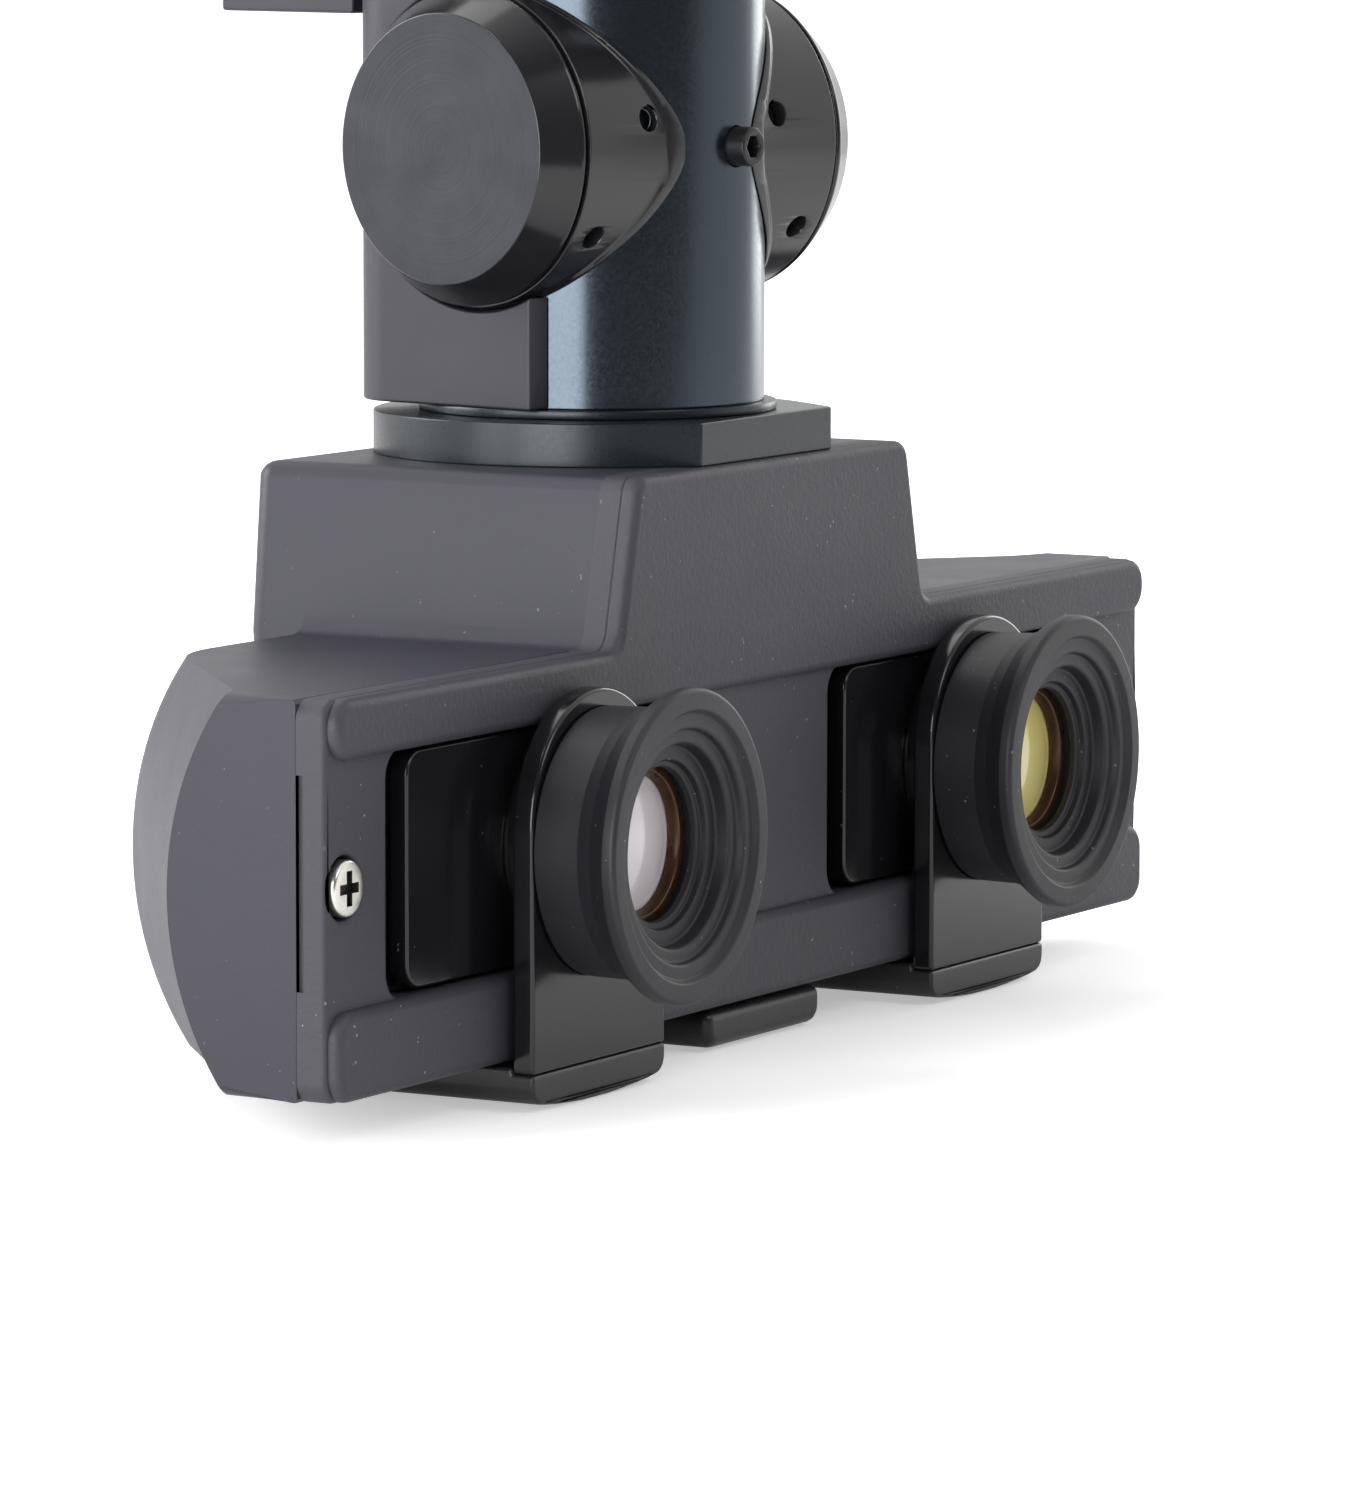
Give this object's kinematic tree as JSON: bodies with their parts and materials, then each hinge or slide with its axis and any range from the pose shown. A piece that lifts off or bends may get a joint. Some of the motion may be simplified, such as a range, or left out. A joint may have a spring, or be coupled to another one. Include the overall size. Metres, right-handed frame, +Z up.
{
  "type": "indirect ophthalmoscope",
  "caption": "Binocular indirect ophthalmoscope head: wide viewing block with sliding eyepieces and a swivelling light tower with side knobs and a tilting mirror.",
  "frame": {"origin": "middle of the part's footprint, on the surface it stands on", "axes": "+X to the examiner's right along the viewing block, -Y towards the examiner's eyes, +Y towards the patient, +Z up along the light tower"},
  "size_m": [0.136, 0.0602, 0.105],
  "materials": {
    "shell": "dark purple-grey moulded, satin with a fine grain",
    "cover": "charcoal moulded, textured matte",
    "bright_screw": "bright nickel",
    "clear_glass": "polished",
    "steel": "ground",
    "ring": "blue-black anodised, satin",
    "inner_black": "matt black, unlit inside",
    "gloss_black": "moulded, high gloss",
    "foot": "satin black",
    "rubber": "matt charcoal",
    "lens_left": "coated, pale grey-pink reflection",
    "lens_right": "coated, yellow reflection",
    "lens_ring": "bronzed",
    "mirror": "front-silvered",
    "tube": "blue-black anodised, satin",
    "casing": "purple-grey anodised, matt",
    "hub": "gloss black anodised",
    "knob": "turned grey face, satin",
    "black_screw": "black oxide",
    "bare_alloy": "machined",
    "board": "circuit board with solder mask",
    "emitter": "yellow lamp chip",
    "filter": "green, blue and clear filter glass"
  },
  "bodies": {
    "block": {"front_shell": "shell", "rear_cover": "cover", "cover_screws": "bright_screw", "patient_window": "clear_glass", "window_bezel": "gloss_black", "guide_rods": "steel", "base_ring": "ring"},
    "prism_slide": {"prism_table": "inner_black", "centre_prism": "clear_glass", "finger_slide": "foot"},
    "eyepiece_left": {"slide_plate_left": "gloss_black", "bracket_left": "gloss_black", "foot_left": "foot", "barrel_left": "inner_black", "eyecup_left": "rubber", "ocular_left": "lens_left", "lens_ring_left": "lens_ring", "carriage_left": "inner_black", "outer_mirror_left": "mirror"},
    "eyepiece_right": {"slide_plate_right": "gloss_black", "bracket_right": "gloss_black", "foot_right": "foot", "barrel_right": "inner_black", "eyecup_right": "rubber", "ocular_right": "lens_right", "lens_ring_right": "lens_ring", "carriage_right": "inner_black", "outer_mirror_right": "mirror"},
    "tower": {"swivel_washer": "ring", "tower_tube": "tube", "swivel_nut": "steel", "front_casing": "casing", "hub_left": "hub", "hub_right": "hub", "hub_screws": "black_screw", "tube_screw": "black_screw", "lamp_slug": "bare_alloy", "lamp_board": "board", "lamp_emitter": "emitter", "condenser_cell": "inner_black", "condenser_lens": "clear_glass", "projection_lens": "clear_glass", "lamp_head": "casing", "light_hood": "casing", "exit_window": "clear_glass", "head_lid": "casing", "lid_screws": "bright_screw"},
    "aperture": {"aperture_knob": "knob", "aperture_drum": "inner_black"},
    "filter": {"filter_knob": "knob", "filter_drum": "inner_black", "filter_glasses": "filter"},
    "mirror": {"tilt_shaft": "steel", "tilt_knob": "bright_screw", "mirror_holder": "inner_black", "lamp_mirror": "mirror"}
  },
  "joints": [
    {"name": "eyepiece_left_slide", "type": "slide", "parent": "block", "child": "eyepiece_left", "axis": [-1, 0, 0], "range_m": [-0.003, 0.003]},
    {"name": "eyepiece_right_slide", "type": "slide", "parent": "block", "child": "eyepiece_right", "axis": [1, 0, 0], "range_m": [-0.003, 0.003]},
    {"name": "prism_focus", "type": "slide", "parent": "block", "child": "prism_slide", "axis": [0, 1, 0], "range_m": [0, 0.004]},
    {"name": "tower_swivel", "type": "hinge", "parent": "block", "child": "tower", "pos_m": [0, -0.00274, 0.0488], "axis": [0, 0, 1], "range_deg": [-4, 26]},
    {"name": "aperture_turn", "type": "hinge", "parent": "tower", "child": "aperture", "pos_m": [0, -0.00274, 0.0725], "axis": [0.9767, -0.2147, 0], "range_deg": [-60, 60]},
    {"name": "filter_turn", "type": "hinge", "parent": "tower", "child": "filter", "pos_m": [0, -0.00274, 0.0725], "axis": [0.9767, -0.2147, 0], "range_deg": [-60, 60]},
    {"name": "mirror_tilt", "type": "hinge", "parent": "tower", "child": "mirror", "pos_m": [0, -0.00274, 0.09225], "axis": [0.9767, -0.2147, 0], "range_deg": [-6, 6]}
  ]
}
